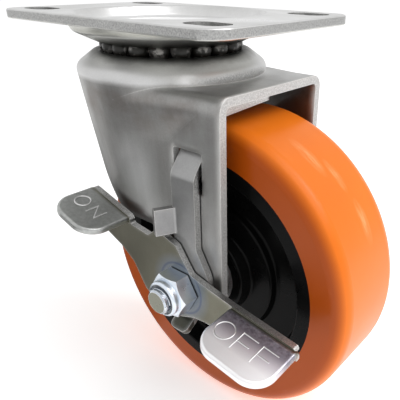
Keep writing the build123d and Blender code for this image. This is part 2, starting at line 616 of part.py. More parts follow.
def strap_tab():
    """Upper lug, bent outward from the strap's edge over the top of the lever."""
    turn = math.radians(TAB_ANGLE)
    corner = (STRAP_LEFT + 0.4, STRAP_OUT_Y)
    end = (corner[0] - TAB_LENGTH * math.cos(turn), corner[1] - TAB_LENGTH * math.sin(turn))
    path = FilletPolyline((STRAP_LEFT + 4.0, STRAP_OUT_Y), corner, end, radius=2.0)
    tab = extrude(trace(path, STRAP_THICKNESS), TAB_HEIGHT)
    return Pos(0, 0, TAB_BOTTOM) * tab


def lever_outline():
    """Side view of the lever about the axle: two arms, the nose above and the cam flats below."""
    on_start, off_start = Vector(*ON_PAD_START), Vector(*OFF_PAD_START)
    on_end = on_start + Vector(ON_PAD_LENGTH, 0).rotate(Axis.Z, ON_PAD_ANGLE)
    off_end = off_start + Vector(OFF_PAD_LENGTH, 0).rotate(Axis.Z, OFF_PAD_ANGLE)
    nose = [(-13.9, 14.1), (-10.9, 16.6), (-7.4, 16.9), (-1.3, 14.8), (4.5, 6.6), (11.1, 5.0)]
    off_arm_under = [(off_end.X - 9.0, off_end.Y - 8.5), (10.1, -8.4), (5.1, -9.0)]
    cam = [(-0.4, -11.3), (-7.3, -11.4), (-9.6, -10.4)]
    on_arm_under = [(-17.2, -7.9), (-22.4, 0.9), (-28.2, 5.1), (-35.4, 8.2)]
    outline = FilletPolyline(
        (on_start.X, on_start.Y - 1.0), (on_start.X, on_start.Y - 2.4), *nose,
        (off_start.X, off_start.Y), (off_end.X, off_end.Y), *off_arm_under, *cam, *on_arm_under,
        (on_end.X - 1.0, on_end.Y - 7.0), (on_end.X, on_end.Y), (on_start.X - 1.0, on_start.Y + 0.27),
        close=True,
        radius=[0.3, 0.8, 0.8, 0.8, 1.5, 2.0, 2.0, 2.0, 1.0, 1.0, 4.0, 1.5, 2.0, 2.0, 1.0, 1.0,
                3.0, 3.0, 3.0, 3.0, 2.0, 1.0, 0.3],
    )
    return make_face(outline)


def pedal_pad(start, length, angle, droop):
    """Pad folded outward from the plate's top edge, with rounded outer corners and upper rim."""
    edge = Vector(1, 0).rotate(Axis.Z, angle)
    along = Vector(edge.X, 0, edge.Y)
    origin = Vector(TRAIL + start[0], -LEVER_BACK, AXLE_Z + start[1])
    fold = Plane(origin=origin, x_dir=(0, -1, 0), z_dir=along)
    up = 1 if fold.y_dir.Z > 0 else -1
    half = LEVER_THICKNESS / 2
    fall = (PAD_DEPTH - half) * math.tan(math.radians(droop))
    path = FilletPolyline(
        (half, -up * PAD_FLANGE), (half, -up * half), (PAD_DEPTH, -up * (half + fall)),
        radius=PAD_BEND_RADIUS - half,
    )
    pad = extrude(trace(path, LEVER_THICKNESS), length)
    tip = pad.faces().sort_by(Axis.X)[-1]
    corners = tip.edges().sort_by(Axis.Z)
    pad = fillet([corners[0], corners[-1]], PAD_CORNER_RADIUS)
    broad = pad.faces().filter_by(GeomType.PLANE).sort_by(SortBy.AREA)[-2:]
    upper = sorted(broad, key=lambda face: up * face.center().Y)[-1]
    rim = [edge for edge in upper.edges() if edge.center().X > PAD_BEND_RADIUS * 1.5]
    pad = fillet(rim, PAD_LIP_RADIUS)
    return fold * pad


def brake_lever():
    """Double-ended pedal lever that turns on the axle bolt."""
    plate = AXLE_AXIS * Pos(0, 0, LEVER_BACK) * extrude(lever_outline(), LEVER_THICKNESS)
    on_pad = pedal_pad(ON_PAD_START, ON_PAD_LENGTH, ON_PAD_ANGLE, ON_PAD_DROOP)
    off_pad = pedal_pad(OFF_PAD_START, OFF_PAD_LENGTH, OFF_PAD_ANGLE, OFF_PAD_DROOP)
    bore = AXLE_AXIS * Pos(0, 0, LEVER_BACK) * Cylinder(AXLE_RADIUS + LEVER_BORE_PLAY, 3 * LEVER_THICKNESS)
    return plate + on_pad + off_pad - bore


# ---------------------------------------------------------------- all nodes
def build_nodes():
    seat = BEARING_FACE - BEARING_WIDTH
    bolt_bore = AXLE_RADIUS + 0.05
    nodes = {
        "top_plate": top_plate(),
        "king_pin": king_pin(),
        "lower_race_cup": lower_race_cup(),
        "main_balls": main_balls(),
        "thrust_balls": thrust_balls(),
        "fork": fork(),
        "axle_bolt": axle_bolt(),
        "axle_nut": axle_nut(),
        "nut_insert": nut_insert(),
        "axle_sleeve": ring(-seat, seat, bolt_bore, SLEEVE_RADIUS),
        "wheel_tread": wheel_tread(),
        "wheel_core": wheel_core(),
        "brake_strap": brake_strap(),
        "brake_lever": brake_lever(),
    }
    for name, side in (("near", 1), ("far", -1)):
        ends = sorted((side * BEARING_FACE, side * LEG_INSIDE))
        nodes[f"axle_spacer_{name}"] = ring(*ends, bolt_bore, SLEEVE_RADIUS)
        nodes[f"bearing_inner_ring_{name}"] = bearing_ring(side, bolt_bore, INNER_RING_LAND)
        nodes[f"bearing_outer_ring_{name}"] = bearing_ring(side, OUTER_RING_LAND, BEARING_OUTER_RADIUS)
        nodes[f"bearing_balls_{name}"] = bearing_balls(side)
        nodes[f"bearing_cage_{name}"] = bearing_cage(side)
        nodes[f"bearing_shields_{name}"] = bearing_shields(side)
    return nodes


def write_nodes(nodes):
    os.makedirs("parts", exist_ok=True)
    for name, shape in nodes.items():
        solids = shape if isinstance(shape, list) else shape.solids()
        node = Compound(children=[Solid(solid.wrapped) for solid in solids])
        export_step(node, f"parts/{name}.step")


write_nodes(build_nodes())
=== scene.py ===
# %% [markdown]
# # A swivel castor with a side brake
# The castor hangs from a slotted steel plate. Balls run between the plate's dish and the fork's raised
# head, the wheel turns on a bolt between the two legs, and a pressed lever with an ON and an OFF pedal
# works the brake. The solids already hold the main shapes. This lesson adds the pedals' letters and the
# bolt's thread, and is mostly about finish: worn zinc, moulded polyurethane, black nylon and grease.

import bpy
import bmesh
import math
from mathutils import Matrix, Vector


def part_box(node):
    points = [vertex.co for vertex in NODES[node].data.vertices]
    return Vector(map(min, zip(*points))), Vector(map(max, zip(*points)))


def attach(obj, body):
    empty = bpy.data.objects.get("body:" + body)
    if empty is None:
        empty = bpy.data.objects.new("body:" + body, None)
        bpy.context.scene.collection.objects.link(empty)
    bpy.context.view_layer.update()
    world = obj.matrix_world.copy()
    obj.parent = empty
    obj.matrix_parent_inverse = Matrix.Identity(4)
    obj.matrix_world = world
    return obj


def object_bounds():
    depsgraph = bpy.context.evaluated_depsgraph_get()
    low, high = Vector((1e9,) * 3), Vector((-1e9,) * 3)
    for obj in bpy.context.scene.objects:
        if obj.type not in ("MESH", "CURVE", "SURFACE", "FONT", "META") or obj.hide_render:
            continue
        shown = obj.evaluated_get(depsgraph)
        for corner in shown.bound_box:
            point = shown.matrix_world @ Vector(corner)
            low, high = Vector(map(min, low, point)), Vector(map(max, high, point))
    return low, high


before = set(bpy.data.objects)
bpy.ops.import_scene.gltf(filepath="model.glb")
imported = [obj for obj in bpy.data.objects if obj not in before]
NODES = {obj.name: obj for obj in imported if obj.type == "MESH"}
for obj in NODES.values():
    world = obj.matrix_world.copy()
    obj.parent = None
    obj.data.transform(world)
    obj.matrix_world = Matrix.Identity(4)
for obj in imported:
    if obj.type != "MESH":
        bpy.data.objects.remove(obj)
cad_low, cad_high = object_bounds()
print("solids' box in mm:", [round(v * 1000, 1) for v in (*cad_low, *cad_high)])

# %% [markdown]
# ## The camera
# A close camera a little above the plate sees its top almost edge-on while it looks down on the
# pedals. The lens axis is off the middle of the frame, which is what the two shift values are for.

# %% Camera
CAMERA_PLACE = Vector((0.12413, -0.11469, 0.01123))
CAMERA_AHEAD = Vector((-0.55947, 0.68688, -0.46388)).normalized()
CAMERA_RIGHT = Vector((0.77202, 0.63552, 0.00993)).normalized()

camera_data = bpy.data.cameras.new("camera")
camera_data.lens = 43.85
camera_data.sensor_width = 36.0
camera_data.shift_x = -0.1092
camera_data.shift_y = 0.0665
camera_data.clip_start = 0.005
camera_data.clip_end = 20.0
camera = bpy.data.objects.new("camera", camera_data)
bpy.context.scene.collection.objects.link(camera)
camera_up = CAMERA_RIGHT.cross(CAMERA_AHEAD)
camera.matrix_world = Matrix((
    (CAMERA_RIGHT.x, camera_up.x, -CAMERA_AHEAD.x, CAMERA_PLACE.x),
    (CAMERA_RIGHT.y, camera_up.y, -CAMERA_AHEAD.y, CAMERA_PLACE.y),
    (CAMERA_RIGHT.z, camera_up.z, -CAMERA_AHEAD.z, CAMERA_PLACE.z),
    (0, 0, 0, 1),
))
bpy.context.scene.camera = camera
bpy.context.scene.view_settings.view_transform = "Standard"
print("camera at", tuple(round(v, 3) for v in camera.location))

# %% [markdown]
# ## The room
# The castor stands on plain white paper in a white room. Metal shows whatever surrounds it, so mirrors
# see that white as the camera does, and a plain grey sky gives matt surfaces their soft light. Two dark
# cards that only reflections see lie to the left, because bare steel in an all-white room has no form.

# %% Node helpers
def add_node(tree, kind, **settings):
    node = tree.nodes.new(kind)
    for name, value in settings.items():
        setattr(node, name, value)
    return node


def add_ramp(tree, factor, stops):
    """Colour ramp; each stop is a position and a grey level or a colour."""
    ramp = add_node(tree, "ShaderNodeValToRGB")
    elements = ramp.color_ramp.elements
    while len(elements) < len(stops):
        elements.new(0.5)
    for element, (position, level) in zip(elements, stops):
        element.position = position
        element.color = (*level, 1) if isinstance(level, tuple) else (level, level, level, 1)
    tree.links.new(factor, ramp.inputs["Fac"])
    return ramp.outputs["Color"]


def add_mix(tree, factor, first, second, blend="MIX"):
    """Mix two colours; each may be a socket, a grey level or a colour."""
    mix = add_node(tree, "ShaderNodeMix", data_type="RGBA", blend_type=blend)
    for label, value in (("Factor", factor), ("A", first), ("B", second)):
        socket = mix.inputs[label]
        if isinstance(value, bpy.types.NodeSocket):
            tree.links.new(value, socket)
        elif socket.type == "RGBA":
            socket.default_value = (*value, 1) if isinstance(value, tuple) else (value, value, value, 1)
        else:
            socket.default_value = value
    return mix.outputs["Result"]


def add_math(tree, operation, first, second=0.0, clamp=False):
    node = add_node(tree, "ShaderNodeMath", operation=operation, use_clamp=clamp)
    for socket, value in zip(node.inputs, (first, second)):
        if isinstance(value, bpy.types.NodeSocket):
            tree.links.new(value, socket)
        else:
            socket.default_value = value
    return node.outputs["Value"]


# %% World and lamps
BRIGHT_DIRECTION = (0.45, 0.15, 0.88)

world = bpy.data.worlds.new("studio")
world.use_nodes = True
bpy.context.scene.world = world
sky = world.node_tree
sky.nodes.clear()
sky_direction = add_node(sky, "ShaderNodeTexCoord").outputs["Generated"]
bright_side = add_node(sky, "ShaderNodeVectorMath", operation="DOT_PRODUCT")
bright_side.inputs[1].default_value = BRIGHT_DIRECTION
sky.links.new(sky_direction, bright_side.inputs[0])
side_factor = add_math(sky, "MULTIPLY_ADD", bright_side.outputs["Value"], 0.5)
side_factor.node.inputs[2].default_value = 0.5
sky_colour = add_ramp(sky, side_factor, [(0.0, 0.14), (0.45, 0.26), (0.70, 0.52), (0.90, 0.72)])
paths = add_node(sky, "ShaderNodeLightPath")
mirrored = add_math(sky, "MAXIMUM", paths.outputs["Is Glossy Ray"], paths.outputs["Is Transmission Ray"])
seen_directly = add_math(sky, "MAXIMUM", paths.outputs["Is Camera Ray"], mirrored)
sky_seen = add_mix(sky, seen_directly, sky_colour, 1.0)
background = add_node(sky, "ShaderNodeBackground")
background.inputs["Strength"].default_value = 1.0
sky.links.new(sky_seen, background.inputs["Color"])
sky_out = add_node(sky, "ShaderNodeOutputWorld")
sky.links.new(background.outputs["Background"], sky_out.inputs["Surface"])


def add_lamp(name, place, target, size, power):
    data = bpy.data.lights.new(name, "AREA")
    data.shape = "RECTANGLE"
    data.size, data.size_y = size
    data.energy = power
    lamp = bpy.data.objects.new(name, data)
    bpy.context.scene.collection.objects.link(lamp)
    lamp.location = place
    lamp.rotation_euler = (Vector(target) - Vector(place)).to_track_quat("-Z", "Y").to_euler()
    return lamp


CASTOR_MIDDLE = (0.02, 0.0, -0.06)
add_lamp("key_lamp", (0.60, 0.10, 0.78), CASTOR_MIDDLE, (0.9, 0.9), 4.8)
add_lamp("crown_lamp", (0.58, 0.36, 0.65), CASTOR_MIDDLE, (0.30, 0.30), 1.3)


def add_card(name, place, turn, size, level):
    """Dark card lying just over the floor, seen only in reflections."""
    card_mesh = bmesh.new()
    bmesh.ops.create_grid(card_mesh, x_segments=1, y_segments=1, size=0.5)
    bmesh.ops.scale(card_mesh, verts=card_mesh.verts, vec=(*size, 1))
    bmesh.ops.rotate(card_mesh, verts=card_mesh.verts, matrix=Matrix.Rotation(math.radians(turn), 3, "Z"))
    bmesh.ops.translate(card_mesh, verts=card_mesh.verts, vec=place)
    data = bpy.data.meshes.new(name)
    card_mesh.to_mesh(data)
    card_mesh.free()
    card = bpy.data.objects.new(name, data)
    bpy.context.scene.collection.objects.link(card)
    card_black = bpy.data.materials.new(f"{name}_black")
    card_black.use_nodes = True
    tree = card_black.node_tree
    tree.nodes.clear()
    dull = add_node(tree, "ShaderNodeEmission")
    dull.inputs["Color"].default_value = (level, level, level, 1)
    out = add_node(tree, "ShaderNodeOutputMaterial")
    tree.links.new(dull.outputs["Emission"], out.inputs["Surface"])
    data.materials.append(card_black)
    card.visible_camera = False
    card.visible_diffuse = False
    card.visible_shadow = False
    return card


card_height = cad_low[2] + 0.002
add_card("front_card", (-0.19, -0.36, card_height), 58.0, (0.50, 0.24), 0.12)
add_card("back_card", (-0.25, 0.16, card_height), -33.0, (0.60, 0.24), 0.15)
print("lamps:", [lamp.name for lamp in bpy.data.lights], "cards at z in mm:", round(card_height * 1000, 1))

# %% Floor
floor_mesh = bmesh.new()
bmesh.ops.create_grid(floor_mesh, x_segments=1, y_segments=1, size=3.0)
bmesh.ops.translate(floor_mesh, verts=floor_mesh.verts, vec=(0, 0, cad_low[2]))
floor_data = bpy.data.meshes.new("floor")
floor_mesh.to_mesh(floor_data)
floor_mesh.free()
floor = bpy.data.objects.new("floor", floor_data)
bpy.context.scene.collection.objects.link(floor)

floor_paper = bpy.data.materials.new("white_paper")
floor_paper.use_nodes = True
paper = floor_paper.node_tree
paper.nodes["Principled BSDF"].inputs["Base Color"].default_value = (0.93, 0.93, 0.93, 1)
paper.nodes["Principled BSDF"].inputs["Roughness"].default_value = 0.9
glow = add_node(paper, "ShaderNodeEmission")
glow.inputs["Strength"].default_value = 0.45
paper_sum = add_node(paper, "ShaderNodeAddShader")
paper.links.new(paper.nodes["Principled BSDF"].outputs["BSDF"], paper_sum.inputs[0])
paper.links.new(glow.outputs["Emission"], paper_sum.inputs[1])
paper.links.new(paper_sum.outputs["Shader"], paper.nodes["Material Output"].inputs["Surface"])
floor_data.materials.append(floor_paper)
print("floor at z in mm:", round(cad_low[2] * 1000, 1))

# %% [markdown]
# ## Shared surface effects
# The plate, fork, strap and lever are pressed from steel sheet and zinc plated, so they share a few
# effects: pale burnished folds, bright speckled cut faces, cloudy stains and the grain of the plating.
# Two node groups with named inputs make them, each placed in a material with that material's values.

# %% Effect groups
def start_group(name, inputs, outputs):
    group = bpy.data.node_groups.new(name, "ShaderNodeTree")
    for label, kind, value in inputs:
        socket = group.interface.new_socket(label, in_out="INPUT", socket_type=kind)
        socket.default_value = value
    for label, kind in outputs:
        group.interface.new_socket(label, in_out="OUTPUT", socket_type=kind)
    entry = add_node(group, "NodeGroupInput")
    leave = add_node(group, "NodeGroupOutput")
    return group, entry, leave


def make_edge_wear():
    """White where a surface bends sharply within the radius, broken up by noise."""
    group, entry, leave = start_group(
        "edge_wear", [("Radius", "NodeSocketFloat", 0.0005), ("Breakup", "NodeSocketFloat", 900.0)],
        [("Mask", "NodeSocketFloat")])
    rounded = add_node(group, "ShaderNodeBevel", samples=6)
    true_face = add_node(group, "ShaderNodeNewGeometry")
    likeness = add_node(group, "ShaderNodeVectorMath", operation="DOT_PRODUCT")
    place = add_node(group, "ShaderNodeTexCoord")
    noise = add_node(group, "ShaderNodeTexNoise")
    noise.inputs["Detail"].default_value = 3.0
    group.links.new(entry.outputs["Radius"], rounded.inputs["Radius"])
    group.links.new(rounded.outputs["Normal"], likeness.inputs[0])
    group.links.new(true_face.outputs["Normal"], likeness.inputs[1])
    group.links.new(place.outputs["Object"], noise.inputs["Vector"])
    group.links.new(entry.outputs["Breakup"], noise.inputs["Scale"])
    bend = add_math(group, "SUBTRACT", 1.0, likeness.outputs["Value"])
    sharp = add_math(group, "MULTIPLY", bend, 9.0, clamp=True)
    rough_edge = add_math(group, "MULTIPLY", noise.outputs["Fac"], 1.7, clamp=True)
    group.links.new(add_math(group, "MULTIPLY", sharp, rough_edge), leave.inputs["Mask"])
    return group


def make_clouds():
    """Soft patches from 0 to 1; a smaller Stretch along an axis makes them longer that way."""
    group, entry, leave = start_group(
        "stretched_clouds", [("Stretch", "NodeSocketVector", (1, 1, 1)), ("Scale", "NodeSocketFloat", 40.0),
                             ("Contrast", "NodeSocketFloat", 2.0)],
        [("Value", "NodeSocketFloat")])
    place = add_node(group, "ShaderNodeTexCoord")
    stretch = add_node(group, "ShaderNodeMapping")
    noise = add_node(group, "ShaderNodeTexNoise")
    noise.inputs["Detail"].default_value = 5.0
    noise.inputs["Roughness"].default_value = 0.6
    group.links.new(place.outputs["Object"], stretch.inputs["Vector"])
    group.links.new(entry.outputs["Stretch"], stretch.inputs["Scale"])
    group.links.new(stretch.outputs["Vector"], noise.inputs["Vector"])
    group.links.new(entry.outputs["Scale"], noise.inputs["Scale"])
    centred = add_math(group, "SUBTRACT", noise.outputs["Fac"], 0.5)
    scaled = add_math(group, "MULTIPLY", centred, entry.outputs["Contrast"])
    group.links.new(add_math(group, "ADD", scaled, 0.5, clamp=True), leave.inputs["Value"])
    return group


EDGE_WEAR = make_edge_wear()
CLOUDS = make_clouds()


def use_group(tree, group, **values):
    node = add_node(tree, "ShaderNodeGroup", node_tree=group)
    for name, value in values.items():
        node.inputs[name.replace("_", " ")].default_value = value
    return node.outputs[0]


def add_parts(tree, kind):
    """X, Y and Z of the piece's own coordinates ("Object") or of its surface direction ("Normal")."""
    split = add_node(tree, "ShaderNodeSeparateXYZ")
    tree.links.new(add_node(tree, "ShaderNodeTexCoord").outputs[kind], split.inputs["Vector"])
    return split.outputs["X"], split.outputs["Y"], split.outputs["Z"]


def add_fade(tree, value, start, end):
    """0 at the start value and 1 at the end value, straight between them; either may be the larger."""
    fade = add_node(tree, "ShaderNodeMapRange", clamp=True)
    fade.inputs["From Min"].default_value = start
    fade.inputs["From Max"].default_value = end
    tree.links.new(value, fade.inputs["Value"])
    return fade.outputs["Result"]


def add_distance(tree, centre, squash=(1, 1, 1)):
    """Distance from a point on the piece, measured along the axes that squash keeps."""
    shift = add_node(tree, "ShaderNodeMapping")
    shift.inputs["Location"].default_value = tuple(-c * s for c, s in zip(centre, squash))
    shift.inputs["Scale"].default_value = squash
    tree.links.new(add_node(tree, "ShaderNodeTexCoord").outputs["Object"], shift.inputs["Vector"])
    length = add_node(tree, "ShaderNodeVectorMath", operation="LENGTH")
    tree.links.new(shift.outputs["Vector"], length.inputs[0])
    return length.outputs["Value"]


print("effect groups:", EDGE_WEAR.name, CLOUDS.name)

# %% [markdown]
# ## Zinc-plated steel
# All the sheet is plated after forming. Its broad faces are grey and a little cloudy, the sheared faces
# are pale and speckled because the shears tear the steel, and the folds are burnished by the die. The
# maker below builds that much, and each piece then gets what is its own.

# %% Zinc maker
def start_zinc(name, light, dark, stretch=(1, 1, 1), cloud_scale=45.0):
    """Plated steel so far: its tree, its cloudy colour and the cloud mask."""
    material = bpy.data.materials.new(name)
    material.use_nodes = True
    tree = material.node_tree
    tree.nodes["Principled BSDF"].inputs["Metallic"].default_value = 1.0
    clouds = use_group(tree, CLOUDS, Stretch=stretch, Scale=cloud_scale, Contrast=2.4)
    return material, tree, add_mix(tree, clouds, dark, light), clouds


def add_cut_faces(tree, colour, mask, pale=0.72, deep=0.26):
    """Pale, speckled look of a sheared face wherever the mask is 1."""
    speckle = use_group(tree, CLOUDS, Stretch=(1, 1, 1), Scale=2400.0, Contrast=2.4)
    return add_mix(tree, mask, colour, add_mix(tree, speckle, deep, (pale, pale, pale * 0.98)))


def finish_zinc(tree, colour, clouds, roughness, fold=0.34, fold_share=0.5, edge=0.70, grain=0.10,
                soften=0.0, keep_sharp=0.0):
    """Burnished folds, bright thin edges, grain and bump, all wired to the shader."""
    shader = tree.nodes["Principled BSDF"]
    folds = use_group(tree, EDGE_WEAR, Radius=0.0022, Breakup=260.0)
    fold_colour = (fold, fold * 0.98, fold * 0.95)
    folded = add_mix(tree, add_math(tree, "MULTIPLY", folds, fold_share), colour, fold_colour)
    thin = use_group(tree, EDGE_WEAR, Radius=0.00035, Breakup=1300.0)
    edged = add_mix(tree, thin, folded, (edge, edge, edge * 0.98))
    speck = use_group(tree, CLOUDS, Stretch=(1, 1, 1), Scale=2200.0, Contrast=1.4)
    tree.links.new(add_mix(tree, grain, edged, speck, blend="OVERLAY"), shader.inputs["Base Color"])
    tree.links.new(add_mix(tree, clouds, roughness + 0.10, roughness - 0.04), shader.inputs["Roughness"])
    bump = add_node(tree, "ShaderNodeBump")
    bump.inputs["Strength"].default_value = 0.15
    bump.inputs["Distance"].default_value = 0.00005
    tree.links.new(speck, bump.inputs["Height"])
    if soften:
        drawn = add_node(tree, "ShaderNodeBevel", samples=8)
        drawn.inputs["Radius"].default_value = soften
        true_face = add_node(tree, "ShaderNodeNewGeometry")
        blend = add_node(tree, "ShaderNodeMix", data_type="VECTOR")
        tree.links.new(keep_sharp, blend.inputs["Factor"])
        tree.links.new(drawn.outputs["Normal"], blend.inputs["A"])
        tree.links.new(true_face.outputs["Normal"], blend.inputs["B"])
        tree.links.new(blend.outputs["Result"], bump.inputs["Normal"])
    tree.links.new(bump.outputs["Normal"], shader.inputs["Normal"])


def dress(node_name, material):
    data = NODES[node_name].data
    data.materials.clear()
    data.materials.append(material)
    for polygon in data.polygons:
        polygon.material_index = 0


# %% [markdown]
# ## The top plate
# The plate's top is bright and its pressed dish is painted almost white as a painted highlight. Its cut
# rim is speckled. The dish's underside is painted darker towards the races as painted shade, and one pale
# ring on it is a painted highlight.

# %% Plate zinc
PLATE_SHEET = 0.0028
DISH_RADIUS = 0.030
DISH_FADE = 0.006
UNDERSIDE_LOW = -0.0086
UNDERSIDE_HIGH = -0.0024

plate_zinc, plate, plate_colour, plate_clouds = start_zinc(
    "plate_zinc", (0.68, 0.68, 0.68), (0.48, 0.48, 0.47), cloud_scale=38.0)
plate_place = add_parts(plate, "Object")
plate_facing = add_parts(plate, "Normal")
swivel_distance = add_distance(plate, (0, 0, 0), squash=(1, 1, 0))
# Painted highlight: the dish is painted almost white, brighter than the zinc's own grey.
dish_mask = add_fade(plate, swivel_distance, DISH_RADIUS, DISH_RADIUS - DISH_FADE)
plate_colour = add_mix(plate, dish_mask, plate_colour, 0.93)
# Painted shade and highlight: the underside is painted darker towards the races, with one pale painted ring.
underside_shade_and_highlight = add_ramp(plate, add_fade(plate, plate_place[2], UNDERSIDE_LOW, UNDERSIDE_HIGH), [
    (0.0, (0.08, 0.08, 0.07)), (0.14, (0.17, 0.17, 0.15)), (0.34, (0.52, 0.52, 0.49)),
    (0.56, (0.72, 0.72, 0.69)), (0.74, (0.40, 0.40, 0.36)), (1.0, (0.60, 0.60, 0.57))])
under_mask = add_fade(plate, plate_facing[2], 0.10, -0.10)
plate_colour = add_mix(plate, under_mask, plate_colour, underside_shade_and_highlight)
rim_mask = add_math(plate, "MULTIPLY",
                    add_fade(plate, add_math(plate, "ABSOLUTE", plate_facing[2]), 0.40, 0.20),
                    add_fade(plate, plate_place[2], -PLATE_SHEET - 0.0004, -PLATE_SHEET))
plate_colour = add_cut_faces(plate, plate_colour, rim_mask, pale=0.50, deep=0.22)
finish_zinc(plate, plate_colour, plate_clouds, 0.30, fold=0.5, fold_share=0.2)
dress("top_plate", plate_zinc)
plate_box = [[round(v * 1000, 1) for v in corner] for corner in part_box("top_plate")]
print("plate dressed, its box in mm:", plate_box)

# %% [markdown]
# ## The fork
# The fork is drawn deep, so its zinc is duller. Grease creeps out of the races over the crown, and the
# crown's dark ring under the plate is partly that grease and partly painted shade. The drawn flank carries
# long soft stains and one pale band, and the front faces of the legs are sheared. The pale band and the
# paler head are highlights kept in the colour, so they stay when a lamp moves.

# %% Fork zinc
CROWN_GREASE_SHADE_RADIUS = 0.0232
CROWN_CLEAR_RADIUS = 0.0275
HEAD_FOOT_LEVEL = -0.0180
BAND_LEFT = (0.000, 0.007)
BAND_RIGHT = (0.018, 0.011)
BAND_TOP = (-0.030, -0.042)
STAIN_TOP = (-0.0180, -0.0205)
STAIN_FOOT = (-0.031, -0.025)
CROWN_LEVEL = -0.0165

fork_zinc, fork, fork_colour, fork_clouds = start_zinc(
    "fork_zinc", (0.42, 0.42, 0.415), (0.25, 0.25, 0.24), stretch=(1.6, 1.6, 0.45), cloud_scale=40.0)
blotches = use_group(fork, CLOUDS, Stretch=(1, 1, 1), Scale=110.0, Contrast=3.0)
fork_colour = add_mix(fork, add_math(fork, "MULTIPLY", blotches, 0.30), fork_colour, (0.26, 0.24, 0.23))
scratches = use_group(fork, CLOUDS, Stretch=(3.0, 3.0, 0.12), Scale=420.0, Contrast=3.0)
fork_colour = add_mix(fork, add_math(fork, "MULTIPLY", scratches, 0.16), fork_colour, 0.40)
fork_place = add_parts(fork, "Object")
fork_facing = add_parts(fork, "Normal")
crown_distance = add_distance(fork, (0, 0, 0), squash=(1, 1, 0))
smear = use_group(fork, CLOUDS, Stretch=(1, 1, 1), Scale=70.0, Contrast=1.6)
crown_dark_reach = add_math(fork, "ADD", crown_distance, add_math(fork, "MULTIPLY", smear, -0.0035))
head_mask = add_fade(fork, fork_place[2], HEAD_FOOT_LEVEL, HEAD_FOOT_LEVEL + 0.0015)
fork_colour = add_mix(fork, add_math(fork, "MULTIPLY", head_mask, 0.75), fork_colour, 0.72)
band_mask = add_math(fork, "MULTIPLY",
                     add_fade(fork, fork_place[0], *BAND_LEFT), add_fade(fork, fork_place[0], *BAND_RIGHT))
band_mask = add_math(fork, "MULTIPLY", band_mask, add_fade(fork, fork_place[2], *BAND_TOP))
fork_colour = add_mix(fork, add_math(fork, "MULTIPLY", band_mask, 0.80), fork_colour, 0.66)
stain_mask = add_math(fork, "MULTIPLY",
                      add_fade(fork, fork_place[2], *STAIN_TOP), add_fade(fork, fork_place[2], *STAIN_FOOT))
stain_mask = add_math(fork, "MULTIPLY", stain_mask, blotches)
fork_colour = add_mix(fork, add_math(fork, "MULTIPLY", stain_mask, 0.60), fork_colour, (0.19, 0.165, 0.15))
# The dark ring round the races is partly grease and partly painted shade under the plate.
grease_and_shade_mask = add_math(fork, "MULTIPLY",
                       add_fade(fork, crown_dark_reach, CROWN_CLEAR_RADIUS - 0.0017, CROWN_GREASE_SHADE_RADIUS - 0.0017),
                       add_fade(fork, fork_place[2], CROWN_LEVEL - 0.004, CROWN_LEVEL))
fork_colour = add_mix(fork, grease_and_shade_mask, fork_colour, (0.018, 0.017, 0.014))
fork_cut = add_fade(fork, fork_facing[0], 0.80, 0.95)
fork_colour = add_cut_faces(fork, fork_colour, fork_cut, pale=0.66, deep=0.30)
finish_zinc(fork, fork_colour, fork_clouds, 0.38, fold=0.48, soften=0.004, keep_sharp=fork_cut)
fork.links.new(add_mix(fork, fork_cut, 1.0, 0.35), fork.nodes["Principled BSDF"].inputs["Metallic"])
dress("fork", fork_zinc)

# %% [markdown]
# ## The brake
# The strap is close to the fork's grey; its foot is darkened as painted shade. The lever's flat plate
# has an olive tint from its passivation, and a painted reflection of the nut round the axle. The OFF
# pedal carries a painted reflection: a highlight almost white at its rim, dark and speckled along its fold.

# %% Brake zinc
STRAP_FACE_Y = -0.0265
FOOT_TOP_Z = -0.0865
LEVER_FACE_Y = -0.0288
OFF_PAD_X = 0.040
OFF_PAD_RIM_Y = -0.0425
AXLE_PLACE = (0.0289, 0.0, -0.0772)
NUT_REFLECTION_RADII = (0.0125, 0.0085)
NUT_RING_INSIDE = (0.0082, 0.0087)
NUT_RING_OUTSIDE = (0.0094, 0.0089)

strap_zinc, strap, strap_colour, strap_clouds = start_zinc(
    "strap_zinc", (0.40, 0.40, 0.40), (0.27, 0.27, 0.27))
strap_facing = add_parts(strap, "Normal")
strap_place = add_parts(strap, "Object")
strap_cut = add_math(strap, "MULTIPLY",
                     add_fade(strap, add_math(strap, "ABSOLUTE", strap_facing[0]), 0.80, 0.95),
                     add_fade(strap, strap_place[1], STRAP_FACE_Y - 0.0004, STRAP_FACE_Y))
# Painted shade: the strap's foot is painted darker below FOOT_TOP_Z.
strap_colour = add_mix(strap, add_fade(strap, strap_place[2], FOOT_TOP_Z, FOOT_TOP_Z - 0.003),
                       strap_colour, (0.075, 0.075, 0.062))
strap_colour = add_cut_faces(strap, strap_colour, strap_cut)
finish_zinc(strap, strap_colour, strap_clouds, 0.36)
dress("brake_strap", strap_zinc)

lever_zinc, lever, lever_colour, lever_clouds = start_zinc(
    "lever_zinc", (0.19, 0.185, 0.145), (0.13, 0.125, 0.095), cloud_scale=30.0)
lever_place = add_parts(lever, "Object")
lever_facing = add_parts(lever, "Normal")
# Painted reflection: a bluish halo of the nut is painted on the lever plate round the axle.
nut_distance = add_distance(lever, AXLE_PLACE, squash=(1, 0, 1))
nut_reflection_tint = add_fade(lever, nut_distance, *NUT_REFLECTION_RADII)
lever_colour = add_mix(lever, add_math(lever, "MULTIPLY", nut_reflection_tint, 0.6), lever_colour, (0.20, 0.235, 0.29))
